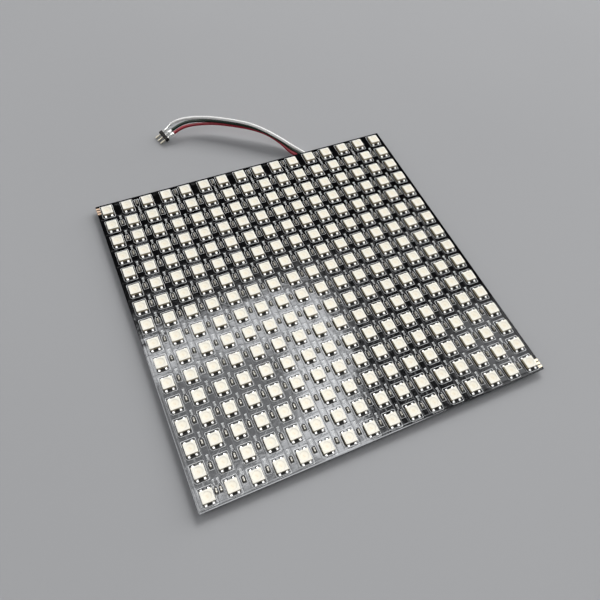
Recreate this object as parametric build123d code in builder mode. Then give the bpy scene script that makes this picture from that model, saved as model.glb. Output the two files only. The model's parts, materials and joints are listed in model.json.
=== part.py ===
# A flexible RGB LED matrix panel, lying face up on a table, with its short three-wire lead.
# Millimetres. X runs along a row of LEDs, Y along a column from the near edge to the far edge,
# and Z is up. The origin is under the middle of the panel, on the surface that it lies on.
import math
import os

from build123d import *

# Grid of LEDs
led_columns = 16
led_rows = 16
led_pitch = 10.0
edge_margin = 5.0

# Flexible circuit sheet
board_thickness = 0.35
board_corner_radius = 0.5

# LED package: a square moulded body with one corner cut off to mark its first terminal
led_side = 5.0
led_height = 1.6
led_corner_cut = 0.25

# Chip capacitors and resistors, between the columns. Where two stand side by side, the left one
# keeps clear of the LED on its left.
chip_length = 1.6
chip_width = 0.8
chip_height = 0.8
chip_offset = 0.95
far_chip_offset = 1.2
first_twin_clearance = 0.95
last_twin_clearance = 0.2

# Plated pads: bare copper at two corners, and on the underside where the lead is soldered
pad_thickness = 0.05
edge_pad_count = 3
edge_pad_length = 1.8
edge_pad_width = 1.1
edge_pad_pitch = 1.6
edge_pad_from_corner = 1.8
back_pad_length = 3.2
back_pad_width = 2.0

# Lead and its solder joints under the sheet. The wires are drawn with flat sides, and each bend
# takes up this share of the shorter of its two runs.
wire_diameter = 1.6
wire_sides = 12
bend_share = 0.45
under_board_gap = 0.4
back_joint_foot_radius = 0.35
back_joint_radius = 0.98
back_joint_reach = 0.45

# Three-pole pin header on the end of the lead
header_pitch = 2.54
header_height = 1.6
header_depth = 1.7
header_corner_cut = 0.2
pin_side = 0.64
pin_tip_chamfer = 0.16
pin_length = 3.5
tail_length = 3.0
header_joint_length = 4.35
header_joint_start = 0.7
header_joint_radius = 1.0
header_joint_nose_radius = 0.5
header_joint_nose_length = 0.9
header_joint_neck_length = 0.8

# Routes of the three wires, from the joint under the sheet to the joint at the header
white_route = [
    (40.0, 58.0, 0.95),
    (40.0, 63.0, 0.95),
    (39.0, 70.0, 0.95),
    (36.4, 76.6, 0.95),
    (33.0, 82.8, 0.95),
    (28.0, 89.8, 3.8),
    (22.0, 96.8, 6.3),
    (14.8, 103.9, 7.7),
    (6.2, 110.2, 8.0),
    (-4.0, 116.3, 7.55),
    (-12.4, 120.6, 6.9),
    (-19.0, 122.9, 6.3),
    (-25.33, 122.53, 4.88),
    (-29.0, 121.68, 3.54),
]
green_route = [
    (37.4, 58.0, 0.95),
    (37.4, 62.8, 0.95),
    (37.0, 69.5, 0.95),
    (34.8, 75.9, 0.95),
    (31.5, 81.9, 0.95),
    (26.8, 89.3, 2.6),
    (21.7, 96.8, 4.6),
    (14.6, 103.9, 6.05),
    (5.9, 109.7, 6.45),
    (-4.3, 115.6, 6.05),
    (-12.6, 119.5, 5.6),
    (-19.0, 120.9, 5.5),
    (-24.76, 120.05, 4.88),
    (-28.43, 119.2, 3.54),
]
red_route = [
    (34.8, 58.0, 0.95),
    (34.8, 62.5, 0.95),
    (35.1, 69.0, 0.95),
    (33.2, 75.2, 0.95),
    (30.0, 80.9, 0.95),
    (25.6, 88.8, 1.4),
    (21.3, 96.8, 2.9),
    (14.4, 103.8, 4.35),
    (5.6, 109.3, 4.85),
    (-4.7, 114.9, 4.6),
    (-12.8, 118.3, 4.35),
    (-19.1, 118.7, 4.6),
    (-24.19, 117.58, 4.88),
    (-27.86, 116.73, 3.54),
]

# Places worked out from the sizes above
board_width = (led_columns - 1) * led_pitch + 2 * edge_margin
board_depth = (led_rows - 1) * led_pitch + 2 * edge_margin
board_underside = wire_diameter + under_board_gap
board_top = board_underside + board_thickness
first_column_x = -(led_columns - 1) * led_pitch / 2
near_row_y = -(led_rows - 1) * led_pitch / 2
far_row_y = -near_row_y


def column_x(column):
    """Middle of a column, counted from 0 at the left."""
    return first_column_x + column * led_pitch


def row_y(row):
    """Middle of a row, counted from 0 at the near edge."""
    return near_row_y + row * led_pitch


def finish_piece(piece, name):
    """Label a finished piece and write it to its own file."""
    piece.part.label = name
    export_step(piece.part, f"parts/{name}.step")


def bend_radii(route):
    """As large an arc at each corner of a route as its two runs leave room for."""
    radii = []
    for before, corner, after in zip(route, route[1:], route[2:]):
        run_in = Vector(*corner) - Vector(*before)
        run_out = Vector(*after) - Vector(*corner)
        half_turn = math.radians(run_in.get_angle(run_out)) / 2
        shorter_run = min(run_in.length, run_out.length)
        radii.append(bend_share * shorter_run / math.tan(half_turn))
    return radii


def wire_along(route):
    """A wire along a route of straight runs joined by tangent arcs."""
    with BuildPart() as wire:
        with BuildLine() as path:
            FilletPolyline(*route, radius=bend_radii(route))
        with BuildSketch(Plane(origin=path.line @ 0, z_dir=path.line % 0)):
            RegularPolygon(wire_diameter / 2, wire_sides)
        sweep(path=path.line)
    return wire


def chips_at(centres):
    """Chip parts of one size, standing on the sheet at the given places."""
    with BuildPart() as chips:
        with BuildSketch(Plane.XY.offset(board_top)):
            with Locations(*centres):
                Rectangle(chip_width, chip_length)
        extrude(amount=chip_height)
    return chips


def edge_pads_beside(side, end):
    """Bare pads on both faces of the sheet: side is -1 left or 1 right, end -1 near or 1 far."""
    middle_x = side * (board_width - edge_pad_length) / 2
    first_y = board_depth / 2 - edge_pad_from_corner
    centres = [(middle_x, end * (first_y - k * edge_pad_pitch)) for k in range(edge_pad_count)]
    with BuildPart() as pads:
        for face_height in (board_top, board_underside - pad_thickness):
            with BuildSketch(Plane.XY.offset(face_height)):
                with Locations(*centres):
                    Rectangle(edge_pad_length, edge_pad_width)
            extrude(amount=pad_thickness)
    return pads


os.makedirs("parts", exist_ok=True)

# Flexible circuit sheet
with BuildPart() as flex_board:
    with BuildSketch(Plane.XY.offset(board_underside)):
        RectangleRounded(board_width, board_depth, board_corner_radius)
    extrude(amount=board_thickness)
finish_piece(flex_board, "flex_board")

# LED packages, one node for each column of the data chain
half_side = led_side / 2
led_outline = [
    (-half_side + led_corner_cut, -half_side),
    (half_side, -half_side),
    (half_side, half_side),
    (-half_side, half_side),
    (-half_side, -half_side + led_corner_cut),
]
for column in range(led_columns):
    with BuildPart() as led_column:
        with BuildSketch(Plane.XY.offset(board_top)):
            with Locations(*[(column_x(column), row_y(row)) for row in range(led_rows)]):
                Polygon(*led_outline, align=None)
        extrude(amount=led_height)
    finish_piece(led_column, f"led_column_{column + 1:02d}")

# Chip capacitors, one node for each gap between two columns. The farthest row has one only in
# every second gap, and there it stands a little further out.
last_gap = led_columns - 2
chip_reach = (led_pitch - led_side - chip_width) / 2
twin_pitch = chip_reach - last_twin_clearance
first_twin_shift = first_twin_clearance - chip_reach
resistor_centres = []
for gap in range(led_columns - 1):
    gap_x = column_x(gap) + led_pitch / 2
    centres = [(gap_x, row_y(row) + chip_offset) for row in range(1, led_rows - 1)]
    near_chip_y = row_y(0) + chip_offset
    if gap == 0:
        centres.append((gap_x + first_twin_shift, near_chip_y))
        resistor_centres.append((gap_x + first_twin_shift + twin_pitch, near_chip_y))
    else:
        centres.append((gap_x, near_chip_y))
    if gap == last_gap:
        resistor_centres.append((gap_x - twin_pitch, near_chip_y))
    if gap % 2 == 1:
        centres.append((gap_x, far_row_y + far_chip_offset))
    finish_piece(chips_at(centres), f"capacitor_gap_{gap + 1:02d}")

finish_piece(chips_at(resistor_centres), "series_resistors")

# Bare pads at the far left and the near right corner
finish_piece(edge_pads_beside(-1, 1), "input_edge_pads")
finish_piece(edge_pads_beside(1, -1), "output_edge_pads")

# Pads and solder joints under the sheet, one where each wire ends
wire_routes = [white_route, green_route, red_route]
joint_places = [(route[0][0], route[0][1] - back_joint_reach) for route in wire_routes]

with BuildPart() as back_solder_pads:
    with BuildSketch(Plane.XY.offset(board_underside - pad_thickness)):
        with Locations(*joint_places):
            Rectangle(back_pad_width, back_pad_length)
    extrude(amount=pad_thickness)
finish_piece(back_solder_pads, "back_solder_pads")

back_joint_height = board_underside - pad_thickness
with BuildPart() as back_joints:
    for joint_x, joint_y in joint_places:
        with BuildSketch(Plane.XZ.offset(-joint_y)):
            with BuildLine():
                Polyline(
                    (joint_x, 0),
                    (joint_x + back_joint_foot_radius, 0),
                    (joint_x + back_joint_radius, back_joint_height),
                    (joint_x, back_joint_height),
                    close=True,
                )
            make_face()
        revolve(axis=Axis((joint_x, joint_y, 0), (0, 0, 1)))
    split(bisect_by=Plane.XZ.offset(-white_route[0][1]), keep=Keep.TOP)
finish_piece(back_joints, "back_joints")

# The three wires
for name, route in zip(("white", "green", "red"), wire_routes):
    finish_piece(wire_along(route), f"wire_{name}")
    print(f"wire_{name} arc radii:", [round(radius, 1) for radius in bend_radii(route)])

# The header stands across the end of the middle wire: its pins point the way the wire ran, down to
# the table
wire_end = Vector(*green_route[-1])
pin_axis = (Vector(*green_route[-1]) - Vector(*green_route[-2])).normalized()
pole_axis = pin_axis.cross(Vector(0, 0, 1)).normalized()
tail_face = wire_end + pin_axis * header_joint_length
pole_steps = [-header_pitch, 0, header_pitch]


def header_plane(distance):
    """A plane across the pins, at a distance past the header's wire side."""
    return Plane(origin=tail_face + pin_axis * distance, x_dir=pole_axis, z_dir=pin_axis)


half_pole = header_pitch / 2
half_height = header_height / 2
pole_outline = [
    (-half_pole, -half_height + header_corner_cut),
    (-half_pole + header_corner_cut, -half_height),
    (half_pole - header_corner_cut, -half_height),
    (half_pole, -half_height + header_corner_cut),
    (half_pole, half_height - header_corner_cut),
    (half_pole - header_corner_cut, half_height),
    (-half_pole + header_corner_cut, half_height),
    (-half_pole, half_height - header_corner_cut),
]
with BuildPart() as header_block:
    with BuildSketch(header_plane(0)):
        with Locations(*[(step, 0) for step in pole_steps]):
            Polygon(*pole_outline, align=None)
    extrude(amount=header_depth)
    with BuildSketch(header_plane(0)):
        with Locations(*[(step, 0) for step in pole_steps]):
            Rectangle(pin_side, pin_side)
    extrude(amount=header_depth, mode=Mode.SUBTRACT)
finish_piece(header_block, "header_block")

with BuildPart() as header_pins:
    with BuildSketch(header_plane(-tail_length)):
        with Locations(*[(step, 0) for step in pole_steps]):
            Rectangle(pin_side, pin_side)
    extrude(amount=tail_length + header_depth + pin_length)
    tip_faces = header_pins.faces().group_by(Axis(wire_end, pin_axis))[-1]
    chamfer(tip_faces.edges(), pin_tip_chamfer)
finish_piece(header_pins, "header_pins")

# Solder joints that wrap the header's tails and meet the wires' ends
shoulder_start = header_joint_start + header_joint_nose_length
shoulder_end = header_joint_length - header_joint_neck_length
with BuildPart() as header_joints:
    for step in pole_steps:
        pole_centre = tail_face + pole_axis * step
        lengthwise = Plane(origin=pole_centre, x_dir=pin_axis * -1, z_dir=pole_axis)
        with BuildSketch(lengthwise):
            with BuildLine():
                Polyline(
                    (header_joint_start, 0),
                    (header_joint_start, header_joint_nose_radius),
                    (shoulder_start, header_joint_radius),
                    (shoulder_end, header_joint_radius),
                    (header_joint_length, wire_diameter / 2),
                    (header_joint_length, 0),
                    close=True,
                )
            make_face()
        revolve(axis=Axis(pole_centre, pin_axis))
    with BuildSketch(header_plane(-tail_length)):
        with Locations(*[(step, 0) for step in pole_steps]):
            Rectangle(pin_side, pin_side)
    extrude(amount=tail_length, mode=Mode.SUBTRACT)
finish_piece(header_joints, "header_joints")
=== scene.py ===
import json
import math

import bmesh
import bpy
from mathutils import Matrix, Vector

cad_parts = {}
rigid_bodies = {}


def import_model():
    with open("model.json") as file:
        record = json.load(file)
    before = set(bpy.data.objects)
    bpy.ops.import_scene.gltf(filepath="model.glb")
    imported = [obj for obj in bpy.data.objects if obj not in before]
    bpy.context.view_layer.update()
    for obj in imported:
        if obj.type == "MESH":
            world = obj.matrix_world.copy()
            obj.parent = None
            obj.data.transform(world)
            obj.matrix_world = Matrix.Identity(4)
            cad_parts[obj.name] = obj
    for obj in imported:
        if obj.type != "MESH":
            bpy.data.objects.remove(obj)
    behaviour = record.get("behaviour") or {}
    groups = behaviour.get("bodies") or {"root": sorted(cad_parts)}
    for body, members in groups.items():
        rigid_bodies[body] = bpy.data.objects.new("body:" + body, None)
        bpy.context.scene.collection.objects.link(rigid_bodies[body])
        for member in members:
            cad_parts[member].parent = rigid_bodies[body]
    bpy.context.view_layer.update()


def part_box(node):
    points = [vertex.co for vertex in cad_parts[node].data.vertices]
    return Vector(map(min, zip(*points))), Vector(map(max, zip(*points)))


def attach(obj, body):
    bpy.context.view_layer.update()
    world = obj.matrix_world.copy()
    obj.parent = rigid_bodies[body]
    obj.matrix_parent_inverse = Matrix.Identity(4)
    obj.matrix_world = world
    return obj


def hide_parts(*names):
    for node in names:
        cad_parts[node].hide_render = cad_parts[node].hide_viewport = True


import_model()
scene = bpy.context.scene

# Metres. X runs along a row of LEDs, Y from the near edge to the far edge, Z is up.
mm = 0.001
up = Vector((0, 0, 1))


# Sizes read from the frame

board_low, board_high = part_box("flex_board")
board_top = board_high.z
first_low, first_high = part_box("led_column_01")
second_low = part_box("led_column_02")[0]
led_side = first_high.x - first_low.x
half_led = led_side / 2
led_height = first_high.z - board_top
pitch = second_low.x - first_low.x
column_count = round((board_high.x - board_low.x) / pitch)
row_count = round((first_high.y - first_low.y - led_side) / pitch) + 1
last_row = row_count - 1
last_gap = column_count - 2
gap_names = [f"capacitor_gap_{gap + 1:02d}" for gap in range(column_count - 1)]
first_x = (first_low.x + first_high.x) / 2
first_y = first_low.y + led_side / 2

# The frame's packages are plain, so the size of their round window is set here.
window_radius = 1.78 * mm


def column_x(column):
    """Middle of a column of LEDs, counted from 0 at the left."""
    return first_x + column * pitch


def row_y(row):
    """Middle of a row of LEDs, counted from 0 at the near edge."""
    return first_y + row * pitch


def gap_x(gap):
    """Middle of the gap to the right of a column."""
    return column_x(gap) + pitch / 2


def column_places(column, height):
    """The places of the LEDs of one column, at a height."""
    return [(column_x(column), row_y(row), height) for row in range(row_count)]


# Mesh shapes, each a list of points and a list of faces

line_slope = 0.15


def walled(rings, foot=False, top=False):
    """Walls through rings of points that follow one another, with a flat foot or top where asked."""
    steps = len(rings[0])
    points = [point for ring in rings for point in ring]
    faces = []
    for level in range(len(rings) - 1):
        low = level * steps
        high = low + steps
        for k in range(steps):
            after = (k + 1) % steps
            faces.append((low + k, low + after, high + after, high + k))
    if top:
        faces.append(tuple(range(len(points) - steps, len(points))))
    if foot:
        faces.append(tuple(reversed(range(steps))))
    return points, faces


def domed(rings, tip):
    """Walls through rings of points, the last of which closes on one point."""
    points, faces = walled(rings)
    steps = len(rings[0])
    last = len(points) - steps
    faces += [(last + k, last + (k + 1) % steps, len(points)) for k in range(steps)]
    return points + [tip], faces


def circle_angles(steps):
    """Directions evenly round a circle."""
    return [2 * math.pi * step / steps for step in range(steps)]


def inset_ring(outline, height, inset):
    """A convex anticlockwise outline at a height, with its sides moved in by a distance."""
    ring = []
    for k, corner in enumerate(outline):
        here = Vector(corner)
        side_in = (here - Vector(outline[k - 1])).normalized()
        side_out = (Vector(outline[(k + 1) % len(outline)]) - here).normalized()
        normal_in = Vector((-side_in.y, side_in.x))
        normal_out = Vector((-side_out.y, side_out.x))
        both = normal_in + normal_out
        place = here + both * (inset / (1 + normal_in.dot(normal_out)))
        ring.append((place.x, place.y, height))
    return ring


def prism(outline, levels, foot=False):
    """A shape above a convex outline. Each level is a height and an inset towards the middle."""
    return walled([inset_ring(outline, height, inset) for height, inset in levels], foot, top=True)


def ring_strip(outline, width, foot, top):
    """A raised line of a given width along a closed convex outline, which is its outer edge."""
    flank = line_slope * width
    levels = [(foot, 0.0), (top, flank), (top, width - flank), (foot, width)]
    return walled([inset_ring(outline, height, inset) for height, inset in levels])


def line_strip(route, width, foot, top, slope=line_slope):
    """A raised line along an open route. Each sloping flank takes a share of its width."""
    least_cosine = 0.5
    route = [Vector(place) for place in route]
    points = []
    for k, here in enumerate(route):
        before = route[max(k - 1, 0)]
        after = route[min(k + 1, len(route) - 1)]
        ahead = (after - before).normalized()
        aside = Vector((-ahead.y, ahead.x))
        side_in = (here - before).normalized() if k else ahead
        edge = width / 2 / max(least_cosine, side_in.dot(ahead))
        shoulder = edge - slope * width
        for across, height in ((-edge, foot), (-shoulder, top), (shoulder, top), (edge, foot)):
            place = here + aside * across
            points.append((place.x, place.y, height))
    faces = []
    for low in range(0, len(points) - 4, 4):
        high = low + 4
        for side in range(3):
            faces.append((low + side + 1, low + side, high + side, high + side + 1))
    faces.append((3, 2, 1, 0))
    faces.append(tuple(range(len(points) - 4, len(points))))
    return points, faces


def rounded_box(half_x, half_y, radius, steps, cut=0.0):
    """A rectangle with round corners. With a cut, the near left corner is a straight chamfer."""
    corners = [(1, -1), (1, 1), (-1, 1), (-1, -1)]
    outline = []
    for turn, (side_x, side_y) in enumerate(corners):
        if cut and (side_x, side_y) == (-1, -1):
            outline.append((-half_x, -half_y + cut))
            outline.append((-half_x + cut, -half_y))
            continue
        centre_x = side_x * (half_x - radius)
        centre_y = side_y * (half_y - radius)
        for step in range(steps + 1):
            angle = math.radians(-90 + 90 * turn + 90 * step / steps)
            outline.append((centre_x + radius * math.cos(angle), centre_y + radius * math.sin(angle)))
    return outline


def box_shape(low, high, bevel):
    """A closed box between two opposite corners, with bevelled upright edges and top edges."""
    low_x, low_y, low_z = low
    high_x, high_y, high_z = high
    first_inset = 0.3 * bevel
    outline = rounded_box((high_x - low_x) / 2, (high_y - low_y) / 2, bevel, steps=2)
    levels = [(low_z, 0.0), (high_z - bevel, 0.0), (high_z - first_inset, first_inset), (high_z, bevel)]
    shape = prism(outline, levels, foot=True)
    return moved(shape, ((low_x + high_x) / 2, (low_y + high_y) / 2, 0))


def solder_blob(width, depth, height, steps=14, lean=0.35):
    """A rounded heap of solder. Its highest place leans back towards the far side."""
    squareness = 0.08
    levels = [(1.0, 0.0), (0.97, 0.28), (0.86, 0.62), (0.64, 0.87), (0.33, 0.97)]
    full_lean = lean * depth / 2
    rings = []
    for spread, rise in levels:
        ring = []
        for angle in circle_angles(steps):
            reach = spread * (1 + squareness * math.cos(4 * angle + math.pi))
            x = width / 2 * reach * math.cos(angle)
            y = depth / 2 * reach * math.sin(angle) + full_lean * rise
            ring.append((x, y, height * rise))
        rings.append(ring)
    return domed(rings, (0.0, full_lean, height))


def moved(shape, offset=(0, 0, 0), flip_y=False):
    """A shape moved by an offset. Flipped, it is mirrored from near to far first."""
    points, faces = shape
    side = -1 if flip_y else 1
    placed = [(x + offset[0], side * y + offset[1], z + offset[2]) for x, y, z in points]
    if flip_y:
        faces = [tuple(reversed(face)) for face in faces]
    return placed, faces


def joined(shapes):
    """Several shapes as one."""
    points = []
    faces = []
    for more_points, more_faces in shapes:
        base = len(points)
        points += more_points
        faces += [tuple(k + base for k in face) for face in more_faces]
    return points, faces


def copies(shape, places):
    """A shape at each of several places, as one."""
    return joined([moved(shape, place) for place in places])


# Objects of the scene

def add_object(name, data):
    """A new object in the scene."""
    thing = bpy.data.objects.new(name, data)
    scene.collection.objects.link(thing)
    return thing


def piece(name, shape, material, replaced=(), crease=35):
    """A mesh object on the root body. Edges sharper than the crease angle stay sharp."""
    mesh = bpy.data.meshes.new(name)
    mesh.from_pydata(shape[0], [], shape[1])
    mesh.validate()
    tool = bmesh.new()
    tool.from_mesh(mesh)
    bmesh.ops.recalc_face_normals(tool, faces=tool.faces)
    for face in tool.faces:
        face.smooth = True
    for edge in tool.edges:
        if len(edge.link_faces) == 2 and edge.calc_face_angle() > math.radians(crease):
            edge.smooth = False
    tool.to_mesh(mesh)
    tool.free()
    mesh.materials.append(material)
    thing = add_object(name, mesh)
    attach(thing, "root")
    if replaced:
        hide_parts(*replaced)
    return thing


def finish_node(node, material):
    """Give a CAD node its material."""
    mesh = bpy.data.objects[node].data
    mesh.materials.clear()
    mesh.materials.append(material)


# Nodes of the materials and of the world

def srgb(colour):
    """A colour as a screen shows it, from 0 to 255, as the linear values that a shader takes."""
    def linear(value):
        share = value / 255
        return share / 12.92 if share <= 0.04045 else ((share + 0.055) / 1.055) ** 2.4
    return (*[linear(value) for value in colour], 1.0)


def new_material(name, roughness, metallic=0.0, ior=1.5):
    """A material, its nodes, and its shader with the values that are even all over it."""
    material = bpy.data.materials.new(name)
    material.use_nodes = True
    shader = material.node_tree.nodes["Principled BSDF"]
    shader.inputs["Roughness"].default_value = roughness
    shader.inputs["Metallic"].default_value = metallic
    shader.inputs["IOR"].default_value = ior
    return material, material.node_tree, shader


def add_ramp(tree, source, stops):
    """A colour ramp on a value, from pairs of a place and a colour as a screen shows it."""
    ramp = tree.nodes.new("ShaderNodeValToRGB")
    while len(ramp.color_ramp.elements) < len(stops):
        ramp.color_ramp.elements.new(0.5)
    for element, (place, colour) in zip(ramp.color_ramp.elements, stops):
        element.position = place
        element.color = srgb(colour)
    tree.links.new(source, ramp.inputs["Fac"])
    return ramp.outputs["Color"]


def add_noise(tree, scale, detail):
    """Noise fixed to the object, with a scale in bumps for each metre."""
    place = tree.nodes.new("ShaderNodeTexCoord")
    noise = tree.nodes.new("ShaderNodeTexNoise")
    noise.inputs["Scale"].default_value = scale
    noise.inputs["Detail"].default_value = detail
    tree.links.new(place.outputs["Object"], noise.inputs["Vector"])
    return noise.outputs["Fac"]


def add_bump(tree, shader, height, strength, depth):
    """A bump of a given depth in metres on a shader."""
    bump = tree.nodes.new("ShaderNodeBump")
    bump.inputs["Strength"].default_value = strength
    bump.inputs["Distance"].default_value = depth
    tree.links.new(height, bump.inputs["Height"])
    tree.links.new(bump.outputs["Normal"], shader.inputs["Normal"])


def math_node(tree, operation, *values):
    """A math node on numbers or sockets."""
    node = tree.nodes.new("ShaderNodeMath")
    node.operation = operation
    for k, value in enumerate(values):
        if isinstance(value, (int, float)):
            node.inputs[k].default_value = value
        else:
            tree.links.new(value, node.inputs[k])
    return node.outputs["Value"]


def wobbled(tree, level, noise, spread):
    """A level that noise moves up and down by half a spread."""
    shift = math_node(tree, "MULTIPLY_ADD", noise, spread, -spread / 2)
    return math_node(tree, "ADD", level, shift)


def smooth_share(tree, value, span, levels):
    """A level that changes smoothly from the first to the second while a value crosses a span."""
    share = tree.nodes.new("ShaderNodeMapRange")
    share.interpolation_type = "SMOOTHSTEP"
    share.inputs["From Min"].default_value, share.inputs["From Max"].default_value = span
    share.inputs["To Min"].default_value, share.inputs["To Max"].default_value = levels
    tree.links.new(value, share.inputs["Value"])
    return share.outputs["Result"]


def place_axes(tree):
    """The place of a point in the scene, as one socket for each axis."""
    place = tree.nodes.new("ShaderNodeNewGeometry")
    split = tree.nodes.new("ShaderNodeSeparateXYZ")
    tree.links.new(place.outputs["Position"], split.inputs["Vector"])
    return split.outputs


# Materials

def coverlay_material():
    """Glossy black film over the copper, with long slow waves and a faint orange peel."""
    dimple_share = 0.16
    peel_share = 0.055
    material, tree, shader = new_material("coverlay_film", roughness=0.11)
    shader.inputs["Specular Tint"].default_value = (0.92, 0.95, 1.0, 1.0)
    tone = add_noise(tree, scale=900, detail=4)
    colour = add_ramp(tree, tone, [(0.3, (4, 4, 5)), (0.7, (9, 9, 11))])
    tree.links.new(colour, shader.inputs["Base Color"])
    waves = add_noise(tree, scale=45, detail=2)
    dimples = add_noise(tree, scale=260, detail=2)
    peel = add_noise(tree, scale=800, detail=4)
    dimpled = math_node(tree, "MULTIPLY_ADD", dimples, dimple_share, waves)
    height = math_node(tree, "MULTIPLY_ADD", peel, peel_share, dimpled)
    add_bump(tree, shader, height, strength=1.0, depth=0.28 * mm)
    return material


def housing_material():
    """White moulded package, with painted shade that darkens its walls below the rim."""
    painted_shade_up_to = board_top + 0.8 * led_height
    unshaded_from = board_top + 0.97 * led_height
    material, tree, shader = new_material("white_housing", roughness=0.5, ior=1.36)
    reach = tree.nodes.new("ShaderNodeMapRange")
    reach.inputs["From Min"].default_value = painted_shade_up_to
    reach.inputs["From Max"].default_value = unshaded_from
    tree.links.new(place_axes(tree)["Z"], reach.inputs["Value"])
    grain = add_noise(tree, scale=2500, detail=2)
    level = wobbled(tree, reach.outputs["Result"], grain, spread=0.06)
    # The lower stops are painted shade on the walls; the top stops are the package's own white.
    stops = [
        (0.0, (176, 164, 138)),
        (0.5, (196, 184, 158)),
        (0.85, (238, 235, 224)),
        (1.0, (244, 241, 230)),
    ]
    tree.links.new(add_ramp(tree, level, stops), shader.inputs["Base Color"])
    add_bump(tree, shader, grain, strength=0.3, depth=0.01 * mm)
    return material


def resin_material():
    """Milky resin over the chips, warmer in its middle, with painted shade that darkens it towards the
    window's edge. The chips show through as faint spots.
    """
    warm_place = (-0.08 * mm, -0.08 * mm)
    spots = [((0.1 * mm, -0.45 * mm), 0.4 * mm), ((-0.35 * mm, 0.2 * mm), 0.34 * mm)]
    spot_colour = (226, 206, 168)
    spot_strength = 0.5
    # The last two stops darken the resin towards the window's edge as painted shade of the cup's rim.
    stops = [
        (0.0, (239, 230, 209)),
        (0.2, (241, 233, 214)),
        (0.5, (244, 238, 221)),
        (0.8, (244, 239, 223)),
        (0.92, (239, 233, 218)),
        (1.0, (233, 227, 212)),
    ]
    material, tree, shader = new_material("milky_resin", roughness=0.3, ior=1.3)
    axes = place_axes(tree)

    def reach_from(place):
        """How far a point lies from a place in its own LED."""
        squares = []
        for axis, first, offset in zip("XY", (first_x, first_y), place):
            along = math_node(tree, "SUBTRACT", axes[axis], first + offset)
            own = math_node(tree, "WRAP", along, pitch / 2, -pitch / 2)
            squares.append(math_node(tree, "MULTIPLY", own, own))
        return math_node(tree, "SQRT", math_node(tree, "ADD", *squares))

    grain = add_noise(tree, scale=1600, detail=3)
    share = math_node(tree, "DIVIDE", reach_from(warm_place), window_radius)
    colour = add_ramp(tree, wobbled(tree, share, grain, spread=0.14), stops)
    for place, spread in spots:
        nearness = smooth_share(tree, reach_from(place), (spread, 0.0), (0.0, spot_strength))
        mixer = tree.nodes.new("ShaderNodeMix")
        mixer.data_type = "RGBA"
        tree.links.new(nearness, mixer.inputs["Factor"])
        tree.links.new(colour, mixer.inputs["A"])
        mixer.inputs["B"].default_value = srgb(spot_colour)
        colour = mixer.outputs["Result"]
    tree.links.new(colour, shader.inputs["Base Color"])
    return material


def metal_material(name, dark, light, roughness, scale, depth, metallic):
    """Bright metal with a mottled tone and a fine bump."""
    material, tree, shader = new_material(name, roughness, metallic=metallic)
    mottle = add_noise(tree, scale, detail=4)
    tree.links.new(add_ramp(tree, mottle, [(0.3, dark), (0.7, light)]), shader.inputs["Base Color"])
    add_bump(tree, shader, mottle, strength=0.4, depth=depth)
    return material


def plastic_material(name, dark, light, roughness, scale, ior=1.46):
    """Plastic, ink or ceramic with a slight change of tone."""
    material, tree, shader = new_material(name, roughness, ior=ior)
    mottle = add_noise(tree, scale, detail=3)
    tree.links.new(add_ramp(tree, mottle, [(0.35, dark), (0.65, light)]), shader.inputs["Base Color"])
    add_bump(tree, shader, mottle, strength=0.3, depth=0.01 * mm)
    return material


coverlay = coverlay_material()
housing = housing_material()
resin = resin_material()
solder = metal_material(
    "bright_solder", (240, 242, 243), (254, 254, 254),
    roughness=0.36, scale=2600, depth=0.02 * mm, metallic=0.75,
)
bright_joint = metal_material(
    "bright_joint", (222, 225, 222), (252, 253, 251),
    roughness=0.24, scale=900, depth=0.02 * mm, metallic=0.4,
)
lead_plating = metal_material(
    "lead_plating", (226, 226, 224), (246, 246, 244),
    roughness=0.4, scale=1500, depth=0.01 * mm, metallic=0.4,
)
bare_copper = metal_material(
    "bare_copper", (176, 150, 128), (212, 186, 164),
    roughness=0.42, scale=1200, depth=0.01 * mm, metallic=0.6,
)
gold_plating = metal_material(
    "gold_plating", (240, 222, 192), (252, 243, 222),
    roughness=0.4, scale=1200, depth=0.01 * mm, metallic=0.5,
)
chip_plating = metal_material(
    "chip_plating", (126, 124, 118), (168, 166, 158),
    roughness=0.3, scale=1800, depth=0.01 * mm, metallic=0.85,
)
pin_metal = metal_material(
    "pin_plating", (214, 207, 186), (238, 233, 216),
    roughness=0.4, scale=900, depth=0.005 * mm, metallic=0.25,
)
# Matt near-black for the bare fields in the film, which also serve as painted shade beside the chips.
bare_gap_and_painted_shade = plastic_material(
    "bare_gap_and_painted_shade", (9, 9, 9), (15, 14, 13), roughness=0.85, scale=3000
)
ceramic = plastic_material(
    "chip_ceramic", (110, 106, 97), (134, 129, 119), roughness=0.2, scale=2400, ior=1.6
)
silk_ink = plastic_material(
    "silk_ink", (222, 225, 228), (242, 244, 245), roughness=0.7, scale=3500
)
white_pvc = plastic_material(
    "white_insulation", (246, 246, 245), (253, 253, 252), roughness=0.4, scale=700
)
green_pvc = plastic_material(
    "green_insulation", (6, 30, 20), (10, 40, 27), roughness=0.5, scale=700, ior=1.33
)
red_pvc = plastic_material(
    "red_insulation", (136, 12, 34), (164, 20, 44), roughness=0.5, scale=700, ior=1.36
)
black_nylon = plastic_material(
    "header_plastic", (6, 6, 6), (11, 11, 10), roughness=0.6, scale=1800, ior=1.3
)


# Camera, from a fit to the places of the LEDs in the photograph, taken as 600 x 600

photo_width = 600
focal_pixels = 588.55
sensor_width = 36.0
camera_place = Vector((-80.13, -134.22, 231.55)) * mm
camera_aim = Vector((-6.78, -7.27, 2.42)) * mm
camera_roll = math.radians(7.316)

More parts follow.
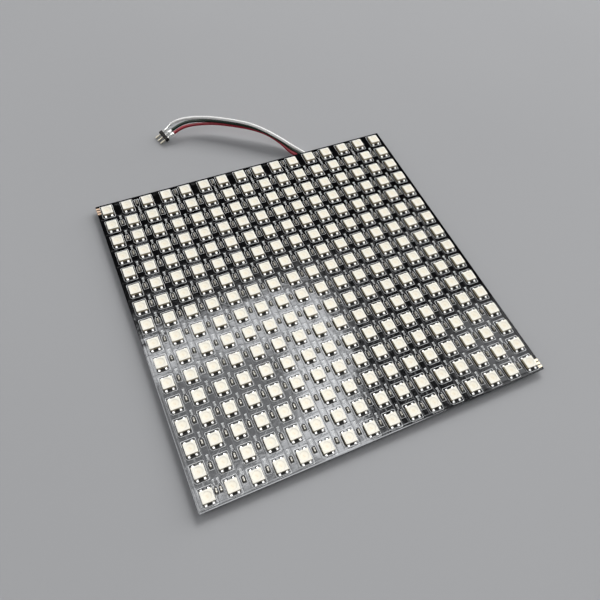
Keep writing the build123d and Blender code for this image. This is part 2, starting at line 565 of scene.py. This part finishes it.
camera_data = bpy.data.cameras.new("photo_camera")
camera_data.sensor_width = sensor_width
camera_data.lens = focal_pixels / photo_width * sensor_width
camera_data.clip_start = 0.01
camera_data.clip_end = 20.0
camera = add_object("photo_camera", camera_data)
facing = (camera_aim - camera_place).to_track_quat("-Z", "Y").to_matrix()
rolled = facing @ Matrix.Rotation(camera_roll, 3, "Z")
camera.matrix_world = Matrix.Translation(camera_place) @ rolled.to_4x4()
scene.camera = camera


# Routes of the three wires, in metres: close to those of part.py, and along the photograph's wires

white_route = [
    (0.04000, 0.05800, 0.00095),
    (0.04000, 0.06300, 0.00095),
    (0.03900, 0.07000, 0.00095),
    (0.03690, 0.07630, 0.00095),
    (0.03480, 0.08070, 0.00105),
    (0.02951, 0.08540, 0.00350),
    (0.02498, 0.09062, 0.00550),
    (0.01875, 0.09841, 0.00710),
    (0.01101, 0.10653, 0.00790),
    (-0.00400, 0.11630, 0.00760),
    (-0.01240, 0.12050, 0.00700),
    (-0.01930, 0.12230, 0.00675),
    (-0.02490, 0.12280, 0.00600),
    (-0.02810, 0.12245, 0.00480),
]
green_route = [
    (0.03740, 0.05800, 0.00095),
    (0.03750, 0.06280, 0.00095),
    (0.03686, 0.06950, 0.00095),
    (0.03505, 0.07550, 0.00095),
    (0.03295, 0.07995, 0.00090),
    (0.02890, 0.08550, 0.00195),
    (0.02495, 0.09120, 0.00405),
    (0.01900, 0.09910, 0.00550),
    (0.01090, 0.10630, 0.00626),
    (-0.00410, 0.11605, 0.00600),
    (-0.01260, 0.11960, 0.00560),
    (-0.01900, 0.12090, 0.00550),
    (-0.02476, 0.12005, 0.00488),
    (-0.02843, 0.11920, 0.00354),
]
red_route = [
    (0.03480, 0.05800, 0.00095),
    (0.03500, 0.06250, 0.00095),
    (0.03470, 0.06900, 0.00095),
    (0.03320, 0.07470, 0.00095),
    (0.03120, 0.07920, 0.00090),
    (0.02770, 0.08480, 0.00090),
    (0.02510, 0.09200, 0.00215),
    (0.01940, 0.09970, 0.00390),
    (0.01100, 0.10650, 0.00460),
    (-0.00420, 0.11580, 0.00435),
    (-0.01280, 0.11830, 0.00430),
    (-0.01910, 0.11870, 0.00460),
    (-0.02419, 0.11758, 0.00488),
    (-0.02786, 0.11673, 0.00354),
]


# The header at the end of the middle wire: a black bar over its three pins, and the solder behind it

pole_pitch = 2.54 * mm
header_joint_length = 4.35 * mm
header_depth = 1.8 * mm
bar_height = 2.0 * mm
groove = 0.14 * mm
bar_bevel = 0.08 * mm
bevelled_height_share = 0.94
joint_steps = 12

wire_end = Vector(green_route[-1])
pin_axis = (wire_end - Vector(green_route[-2])).normalized()
pole_axis = pin_axis.cross(up).normalized()
rise_axis = pole_axis.cross(pin_axis)
tail_face = wire_end + pin_axis * header_joint_length


def header_bar():
    """The bar with shallow grooves between its poles, from its wire side to its pin side."""
    top = bar_height / 2
    top_line = []
    for pole in (-1, 0, 1):
        left = (pole - 0.5) * pole_pitch
        right = (pole + 0.5) * pole_pitch
        top_line += [(left, top - groove), (left + groove, top)]
        top_line += [(right - groove, top), (right, top - groove)]
    outline = top_line + [(-x, -y) for x, y in top_line]
    levels = [
        (-bar_bevel, bar_bevel, bevelled_height_share),
        (0.0, 0.0, 1.0),
        (header_depth, 0.0, 1.0),
        (header_depth + bar_bevel, bar_bevel, bevelled_height_share),
    ]
    rings = []
    for distance, inset, height_share in levels:
        middle = tail_face + pin_axis * distance
        ring = []
        for x, y in outline:
            across = pole_axis * (x - math.copysign(inset, x))
            ring.append(tuple(middle + across + rise_axis * (y * height_share)))
        rings.append(ring)
    return walled(rings, foot=True, top=True)


def header_joint(start, pole, profile):
    """Solder from a wire's end to the bar, from pairs of a share of the way and a radius in mm."""
    start = Vector(start)
    finish = tail_face + pole_axis * (pole * pole_pitch)
    aside = (finish - start).cross(up).normalized()
    upward = aside.cross((finish - start).normalized())
    rings = []
    for share, radius in profile:
        middle = start.lerp(finish, share)
        ring = []
        for angle in circle_angles(joint_steps):
            way_out = aside * math.cos(angle) + upward * math.sin(angle)
            ring.append(tuple(middle + way_out * (radius * mm)))
        rings.append(ring)
    return walled(rings, foot=True, top=True)


fat_joint = [
    (-0.03, 0.6),
    (0.02, 0.86),
    (0.16, 1.04),
    (0.34, 1.12),
    (0.5, 1.0),
    (0.62, 0.72),
    (0.72, 0.5),
    (0.85, 0.44),
    (1.0, 0.42),
]
thin_joint = [
    (-0.05, 0.5),
    (0.0, 0.62),
    (0.12, 0.56),
    (0.3, 0.5),
    (0.5, 0.6),
    (0.62, 0.8),
    (0.75, 0.74),
    (0.88, 0.5),
    (1.0, 0.42),
]
header_solder = joined([
    header_joint(white_route[-1], 1, thin_joint),
    header_joint(green_route[-1], 0, fat_joint),
    header_joint(red_route[-1], -1, fat_joint),
])
header_pieces = [
    piece("header_bar", header_bar(), black_nylon, ("header_block",), crease=25),
    piece("header_solder", header_solder, bright_joint, ("header_joints",), crease=60),
    "header_pins",
]


# The three wires

wire_diameter = 1.68 * mm


def wire(name, node, route, material):
    """One insulated wire as a smooth NURBS line with a round section, up to the header."""
    curve = bpy.data.curves.new(name, "CURVE")
    curve.dimensions = "3D"
    curve.bevel_depth = wire_diameter / 2
    curve.bevel_resolution = 4
    curve.use_fill_caps = True
    spline = curve.splines.new("NURBS")
    spline.points.add(len(route) - 1)
    for point, place in zip(spline.points, route):
        point.co = (*place, 1.0)
    spline.order_u = 3
    spline.use_endpoint_u = True
    spline.resolution_u = 6
    curve.materials.append(material)
    thing = add_object(name, curve)
    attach(thing, "root")
    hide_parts(node)


wire("white_cord", "wire_white", white_route, white_pvc)
wire("green_cord", "wire_green", green_route, green_pvc)
wire("red_cord", "wire_red", red_route, red_pvc)


# Body of an LED package: a square with a cut corner, a bevelled rim and a round open window

housing_foot = 0.1 * mm
plinth_inset = 0.12 * mm
plinth_top = 0.5 * mm
body_foot = 0.56 * mm
top_bevel = 0.09 * mm
rim_inset = 0.7 * top_bevel
window_depth = 0.1 * mm
window_flare = 0.1 * mm
corner_cut = 0.25 * mm
corner_chamfer = 0.1 * mm
circle_steps = 32
closest_directions = math.radians(3)
least_towards = 1e-6

straight = half_led - corner_chamfer
housing_corners = [
    (straight, -half_led),
    (half_led, -straight),
    (half_led, straight),
    (straight, half_led),
    (-straight, half_led),
    (-half_led, straight),
    (-half_led, -half_led + corner_cut),
    (-half_led + corner_cut, -half_led),
]


def housing_directions():
    """Directions from the middle: one to each corner, and even ones where there is room between."""
    corner_angles = [math.atan2(y, x) for x, y in housing_corners]
    angles = list(corner_angles)
    for step in range(circle_steps):
        angle = 2 * math.pi * (step + 0.5) / circle_steps - math.pi
        if min(abs(angle - other) for other in corner_angles) > closest_directions:
            angles.append(angle)
    return sorted(angles)


def side_ring(angles, inset, height):
    """Where each direction meets the body's sides, moved in by a distance."""
    sides = []
    for (x0, y0), (x1, y1) in zip(housing_corners, housing_corners[1:] + housing_corners[:1]):
        length = math.hypot(x1 - x0, y1 - y0)
        out_x = (y1 - y0) / length
        out_y = -(x1 - x0) / length
        sides.append((out_x, out_y, x0 * out_x + y0 * out_y - inset))
    ring = []
    for angle in angles:
        reaches = []
        for out_x, out_y, distance in sides:
            towards = math.cos(angle) * out_x + math.sin(angle) * out_y
            if towards > least_towards:
                reaches.append(distance / towards)
        reach = min(reaches)
        ring.append((math.cos(angle) * reach, math.sin(angle) * reach, height))
    return ring


def window_ring(angles, radius, height):
    """The same directions on a circle."""
    return [(math.cos(angle) * radius, math.sin(angle) * radius, height) for angle in angles]


def housing_shape():
    """The body, from its foot over the sheet up to its rim and into the window."""
    angles = housing_directions()
    rings = [
        side_ring(angles, plinth_inset, housing_foot),
        side_ring(angles, plinth_inset, plinth_top),
        side_ring(angles, 0.0, body_foot),
        side_ring(angles, 0.0, led_height - top_bevel),
        side_ring(angles, rim_inset, led_height),
        window_ring(angles, window_radius + window_flare, led_height),
        window_ring(angles, window_radius, led_height - window_depth),
    ]
    return walled(rings, foot=True)


def resin_shape():
    """The resin in the window, with a slight dish."""
    rim = led_height - 0.6 * window_depth
    dish = 0.05 * mm
    overlap = 0.03 * mm
    levels = [(window_radius + overlap, 0.0), (0.7 * window_radius, 0.6), (0.3 * window_radius, 0.9)]
    angles = circle_angles(circle_steps)
    rings = [window_ring(angles, radius, rim - share * dish) for radius, share in levels]
    return domed(rings, (0.0, 0.0, rim - dish))


# Leads and solder of an LED package

lead_offset = 1.5 * mm
lead_width = 1.1 * mm
lead_thickness = 0.14 * mm
lead_reach = 0.2 * mm
lead_root = 0.2 * mm
lead_top = 0.5 * mm
lead_bend = 0.08 * mm
lead_foot = 0.02 * mm
near_joint_y = -half_led - 0.66 * mm
far_joint_y = half_led + 0.5 * mm


def lead_shape():
    """One plated lead, from the near wall of the package down to its pad."""
    root = -half_led + lead_root
    front = -half_led - lead_reach
    back = front + lead_thickness
    profile = [
        (root, lead_top),
        (front + lead_bend, lead_top),
        (front, lead_top - lead_bend),
        (front, lead_foot),
        (back, lead_foot),
        (back, lead_top - lead_thickness),
        (root, lead_top - lead_thickness),
    ]
    rings = [[(side * lead_width / 2, y, z) for y, z in profile] for side in (-1, 1)]
    return walled(rings, foot=True, top=True)


def pair(shape, y=0.0):
    """A shape at the left and at the right lead of a package."""
    return copies(shape, [(-lead_offset, y, 0), (lead_offset, y, 0)])


one_housing = housing_shape()
one_resin = resin_shape()
near_leads = pair(lead_shape())
all_leads = joined([near_leads, moved(near_leads, flip_y=True)])
near_joint = solder_blob(width=1.22 * mm, depth=1.1 * mm, height=0.46 * mm)
far_joint = solder_blob(width=1.1 * mm, depth=0.85 * mm, height=0.3 * mm)
all_joints = joined([pair(near_joint, near_joint_y), pair(far_joint, far_joint_y)])

for column in range(column_count):
    places = column_places(column, board_top)
    number = f"{column + 1:02d}"
    node = f"led_column_{number}"
    piece(f"led_housing_{number}", copies(one_housing, places), housing, (node,))
    piece(f"led_resin_{number}", copies(one_resin, places), resin)
    piece(f"led_leads_{number}", copies(all_leads, places), lead_plating)
    piece(f"led_joints_{number}", copies(all_joints, places), solder, crease=60)


# Chip capacitors and resistors

chip_width = 0.8 * mm
chip_length = 1.6 * mm
chip_height = 0.8 * mm
cap_length = 0.36 * mm
body_side_inset = 0.02 * mm
body_end_inset = 0.1 * mm
body_gap_below = 0.04 * mm
body_gap_above = 0.03 * mm
fillet_reach = 0.1 * mm
weld_reach = 0.004 * mm


def solid_middles(node):
    """The middle of each separate solid of a CAD node, on the sheet."""
    tool = bmesh.new()
    tool.from_mesh(bpy.data.objects[node].data)
    bmesh.ops.remove_doubles(tool, verts=tool.verts, dist=weld_reach)
    middles = []
    seen = set()
    for start in tool.verts:
        if start in seen:
            continue
        group = [start]
        seen.add(start)
        for vert in group:
            for edge in vert.link_edges:
                other = edge.other_vert(vert)
                if other not in seen:
                    seen.add(other)
                    group.append(other)
        low_x = min(vert.co.x for vert in group)
        high_x = max(vert.co.x for vert in group)
        low_y = min(vert.co.y for vert in group)
        high_y = max(vert.co.y for vert in group)
        middles.append(((low_x + high_x) / 2, (low_y + high_y) / 2, board_top))
    tool.free()
    return middles


chip_body = box_shape(
    (-chip_width / 2 + body_side_inset, -chip_length / 2 + body_end_inset, body_gap_below),
    (chip_width / 2 - body_side_inset, chip_length / 2 - body_end_inset, chip_height - body_gap_above),
    bevel=0.05 * mm,
)
near_cap = box_shape(
    (-chip_width / 2, -chip_length / 2, 0.0),
    (chip_width / 2, -chip_length / 2 + cap_length, chip_height),
    bevel=0.08 * mm,
)
near_fillet = solder_blob(width=0.85 * mm, depth=0.6 * mm, height=0.34 * mm, steps=12, lean=0.6)
near_end = joined([near_cap, moved(near_fillet, (0, -chip_length / 2 - fillet_reach, 0))])
chip_ends = joined([near_end, moved(near_end, flip_y=True)])

chip_places = {node: solid_middles(node) for node in gap_names + ["series_resistors"]}
for node, places in chip_places.items():
    short = node.replace("capacitor_", "chips_").replace("series_", "chips_series_")
    piece(f"{short}_bodies", copies(chip_body, places), ceramic, (node,))
    piece(f"{short}_ends", copies(chip_ends, places), chip_plating, crease=50)


# Openings in the film, as bare dark fields round the chips and the joints of each LED. Round the chips
# the fields reach wider than the openings, as painted shade where the chips' walls shade the sheet.

field_height = 0.008 * mm
near_opening_y = -half_led - 0.7 * mm
far_opening_y = half_led + 0.65 * mm
chip_opening_x = -0.05 * mm


def film_opening(half_x, half_y, radius, x=0.0, y=0.0, steps=2):
    """A bare field with round corners, a hair above the film."""
    field = prism(rounded_box(half_x, half_y, radius, steps), [(0.0, 0.0), (field_height, 0.0)])
    return moved(field, (x, y, 0))


near_opening = film_opening(half_x=2.3 * mm, half_y=0.75 * mm, radius=0.12 * mm, y=near_opening_y)
far_opening = film_opening(half_x=0.85 * mm, half_y=0.55 * mm, radius=0.12 * mm, y=far_opening_y)
led_openings = joined([near_opening, pair(far_opening)])
# The fields round the chips are wider than their bare openings and shifted to the left, as painted shade
# where the chips' walls shade the sheet.
chip_opening_and_painted_shade = film_opening(half_x=0.9 * mm, half_y=1.5 * mm, radius=0.3 * mm, x=chip_opening_x, steps=3)
led_places = [place for column in range(column_count) for place in column_places(column, board_top)]
all_chip_places = [place for places in chip_places.values() for place in places]
film_openings = joined([copies(led_openings, led_places), copies(chip_opening_and_painted_shade, all_chip_places)])
piece("film_openings", film_openings, bare_gap_and_painted_shade)


# Printed marks

silk_top = board_top + 0.03 * mm
silk_foot = board_top + 0.001 * mm
led_line_width = 0.19 * mm
chip_line_width = 0.17 * mm
tick_width = 0.2 * mm
bar_width = 0.4 * mm
neck_share = 0.55
tick_count = 4
tick_shares = (0.7, 0.95)
first_tick = 0.35 * mm
tick_step = 0.5 * mm
tick_rise = 0.12 * mm
bar_share = 0.9
bar_left_y = 2.35 * mm
bar_right_y = 2.45 * mm

led_outline = rounded_box(half_x=3.12 * mm, half_y=4.15 * mm, radius=0.45 * mm, steps=4, cut=0.95 * mm)
led_mark = ring_strip(led_outline, led_line_width, silk_foot, silk_top)
for column in range(column_count):
    marks = copies(led_mark, column_places(column, 0))
    piece(f"silk_outlines_{column + 1:02d}", marks, silk_ink)


def chip_mark(half_width, foot_y, shoulder_y, neck_y):
    """The printed frame round a chip, narrow at its neck, with plain ticks and a bar beyond it."""
    neck = half_width * neck_share
    frame_route = [
        (-neck, neck_y),
        (-half_width, shoulder_y),
        (-half_width, foot_y),
        (half_width, foot_y),
        (half_width, shoulder_y),
        (neck, neck_y),
    ]
    shapes = [line_strip(frame_route, chip_line_width, silk_foot, silk_top)]
    for k in range(tick_count):
        y = neck_y + first_tick + k * tick_step
        reach = neck * tick_shares[k % 2]
        shapes.append(line_strip([(-reach, y), (reach, y + tick_rise)], tick_width, silk_foot, silk_top))
    reach = neck * bar_share
    bar = [(-reach, neck_y + bar_left_y), (reach, neck_y + bar_right_y)]
    shapes.append(line_strip(bar, bar_width, silk_foot, silk_top))
    return joined(shapes)


plain_mark = chip_mark(1.02 * mm, foot_y=-1.95 * mm, shoulder_y=1.05 * mm, neck_y=1.95 * mm)
narrow_mark = chip_mark(0.86 * mm, foot_y=-1.95 * mm, shoulder_y=1.05 * mm, neck_y=1.95 * mm)
far_mark = chip_mark(1.02 * mm, foot_y=-1.9 * mm, shoulder_y=1.5 * mm, neck_y=2.7 * mm)
far_mark = moved(far_mark, flip_y=True)
far_chips_from = row_y(last_row) - pitch / 2
near_chips_up_to = row_y(0) + pitch / 2
for gap, node in enumerate(gap_names):
    has_twin = gap in (0, last_gap)
    marks = []
    for x, y, z in chip_places[node]:
        if y > far_chips_from:
            marks.append(moved(far_mark, (x, y, 0)))
        elif y < near_chips_up_to and has_twin:
            marks.append(moved(narrow_mark, (x, y, 0)))
        else:
            marks.append(moved(plain_mark, (x, y, 0)))
    if has_twin:
        side = -1 if gap == 0 else 1
        twins = [(x, y, 0) for x, y, z in chip_places["series_resistors"] if side * x > 0]
        marks.append(copies(narrow_mark, twins))
    piece(f"silk_chip_marks_{gap + 1:02d}", joined(marks), silk_ink)


# Copper tracks and edges that stand up a little under the film

relief_top = board_top + 0.035 * mm
relief_foot = board_top - 0.001 * mm
track_slope = 0.3
border_slope = 0.45
rail_width = 0.3 * mm
rail_offsets = (-1.42 * mm, 1.34 * mm)
rail_margin = 1.2 * mm
track_edge_margin = 0.3 * mm
crossing_shift = 0.05 * mm
borders = [(0.47 * mm, 0.9 * mm), (1.5 * mm, 0.6 * mm)]

# Tracks of a crossing, each as a width and a route from the middle of the crossing, in millimetres
outward_crossing = [
    (0.6, [(0.0, -0.75), (0.0, 0.75)]),
    (0.3, [(-5.4, 0.4), (-2.3, 0.45), (-1.6, 0.1)]),
    (0.25, [(1.5, -0.35), (3.3, -0.35)]),
]
returning_crossing = [
    (0.5, [(-1.5, -0.75), (-0.9, -0.6), (0.5, 0.75)]),
    (0.3, [(-3.9, -0.1), (-1.4, 0.05), (-0.7, 0.7)]),
    (0.3, [(0.2, -0.65), (0.8, -0.05), (3.3, 0.1)]),
    (0.25, [(-6.2, 0.95), (-3.6, 0.95)]),
]
corner_tracks = [(0.3, [(9.2 + 0.95 * k, 1.9), (11.4 + 0.95 * k, 4.6)]) for k in range(3)]


def track(width, route, slope=track_slope):
    """A raised stretch of film over a copper edge or track."""
    return line_strip(route, width, relief_foot, relief_top, slope)


def tracks_at(x, y, group):
    """The tracks of a group at a place, kept inside the sheet's left edge."""
    shapes = []
    for width, route in group:
        places = [(max(x + dx * mm, board_low.x + track_edge_margin), y + dy * mm) for dx, dy in route]
        shapes.append(track(width * mm, places))
    return shapes


def border_tracks(inset, width):
    """A raised line along each edge of the sheet."""
    left, right = board_low.x + inset, board_high.x - inset
    near, far = board_low.y + inset, board_high.y - inset
    upright = [[(x, near), (x, far)] for x in (left, right)]
    level = [[(left, y), (right, y)] for y in (near, far)]
    return [track(width, route, border_slope) for route in upright + level]


tracks = []
for gap in range(column_count - 1):
    for offset in rail_offsets:
        x = gap_x(gap) + offset
        rail = [(x, board_low.y + rail_margin), (x, board_high.y - rail_margin)]
        tracks.append(track(rail_width, rail))
for column in range(column_count):
    crossing = returning_crossing if column % 2 else outward_crossing
    for row in range(row_count - 1):
        tracks += tracks_at(column_x(column), row_y(row) + pitch / 2 + crossing_shift, crossing)
for inset, width in borders:
    tracks += border_tracks(inset, width)
tracks += tracks_at(board_low.x, board_low.y, corner_tracks)
piece("copper_tracks", joined(tracks), coverlay, crease=60)


# CAD nodes that keep their shape

finish_node("flex_board", coverlay)
finish_node("input_edge_pads", bare_copper)
finish_node("output_edge_pads", gold_plating)
finish_node("back_solder_pads", lead_plating)
finish_node("back_joints", solder)
finish_node("header_pins", pin_metal)


# Floor

floor_half = 4.0

floor_mesh = bpy.data.meshes.new("floor")
floor_corners = [(x * floor_half, y * floor_half, 0) for x, y in ((-1, -1), (1, -1), (1, 1), (-1, 1))]
floor_mesh.from_pydata(floor_corners, [], [(0, 1, 2, 3)])
floor_material, floor_tree, floor_shader = new_material("plain_floor", roughness=0.75)
floor_tone = add_noise(floor_tree, scale=3, detail=2)
floor_colour = add_ramp(floor_tree, floor_tone, [(0.3, (160, 161, 164)), (0.7, (164, 165, 168))])
floor_tree.links.new(floor_colour, floor_shader.inputs["Base Color"])
floor_shader.inputs["Specular IOR Level"].default_value = 0.15
floor_mesh.materials.append(floor_material)
floor = add_object("floor", floor_mesh)


# World: an even room that is dark high on the far right side and dim on the near side

world = bpy.data.worlds.new("soft_room")
world.use_nodes = True
scene.world = world
room_tree = world.node_tree
room = room_tree.nodes["Background"]
direction = room_tree.nodes.new("ShaderNodeTexCoord")


def room_share(way, span, levels):
    """A level that changes smoothly while a direction's cosine to a given way crosses a span."""
    product = room_tree.nodes.new("ShaderNodeVectorMath")
    product.operation = "DOT_PRODUCT"
    product.inputs[1].default_value = Vector(way).normalized()
    room_tree.links.new(direction.outputs["Generated"], product.inputs[0])
    return smooth_share(room_tree, product.outputs["Value"], span, levels)


dark_span = (math.cos(math.radians(58)), math.cos(math.radians(28)))
dark_far = room_share((0.48, 0.75, 1.0), dark_span, (0.93, 0.02))
dim_near = room_share((0.0, 1.0, 0.0), (-0.7, 0.3), (0.25, 1.0))
room_level = math_node(room_tree, "MULTIPLY", dark_far, dim_near)
room_tree.links.new(room_level, room.inputs["Strength"])
room.inputs["Color"].default_value = (0.98, 0.99, 1.0, 1.0)


# Lamps

lamp_colour = (1.0, 0.99, 0.97)
panel_height = 2.0
panel_spread = 1 + (panel_height - board_top) / (camera_place.z - board_top)


def flat_lamp(name, width, depth, energy):
    """A flat lamp with a rectangular face."""
    lamp = bpy.data.lights.new(name, "AREA")
    lamp.shape = "RECTANGLE"
    lamp.size = width
    lamp.size_y = depth
    lamp.energy = energy
    lamp.color = lamp_colour
    return add_object(name, lamp)


def soft_panel(name, middle, size, radiance, turn=0.0, lift=0.0):
    """A flat lamp over the part that only glossy surfaces show.

    Its middle and size, in millimetres, say where on the sheet the camera sees it mirrored."""
    width, depth = [length * mm * panel_spread for length in size]
    thing = flat_lamp(name, width, depth, radiance * math.pi * width * depth)
    thing.location = (
        middle[0] * mm * panel_spread - camera_place.x * (panel_spread - 1),
        middle[1] * mm * panel_spread - camera_place.y * (panel_spread - 1),
        panel_height + lift,
    )
    thing.rotation_euler = (0, 0, turn)
    thing.visible_diffuse = False


def matt_lamp(name, place, width, depth, energy):
    """A flat lamp that faces the part and lights it, but is seen neither in mirrors nor directly."""
    thing = flat_lamp(name, width, depth, energy)
    thing.location = place
    thing.rotation_euler = (-Vector(place)).to_track_quat("-Z", "Y").to_euler()
    thing.visible_glossy = False
    thing.visible_camera = False


soft_panel("far_bar", middle=(-44.6, -11.7), size=(97, 20.5), radiance=14.0)
soft_panel("side_bar", middle=(-15.7, -51.2), size=(24.3, 61.6), radiance=16.0, turn=math.radians(-15))
soft_panel("inner_panel", middle=(-59.6, -53.1), size=(56, 56), radiance=3.0, lift=0.05)
soft_panel("near_bar", middle=(-54, -74.5), size=(52, 10), radiance=12.0, turn=math.radians(15))
soft_panel("right_card", middle=(76.8, -71.8), size=(56, 60), radiance=3.1)
soft_panel("top_panel", middle=(-72, -175), size=(170, 165), radiance=3.0)
soft_panel("left_card", middle=(-206, -48), size=(227, 82), radiance=8.0)
soft_panel("near_card", middle=(-31, -120), size=(103, 62), radiance=9.0, lift=-0.05)
matt_lamp("key_lamp", place=(2.2, 2.85, 2.1), width=2.4, depth=1.45, energy=170.0)
matt_lamp("low_lamp", place=(3.2, 0.8, 1.0), width=2.6, depth=1.6, energy=85.0)

scene.view_settings.view_transform = "Standard"
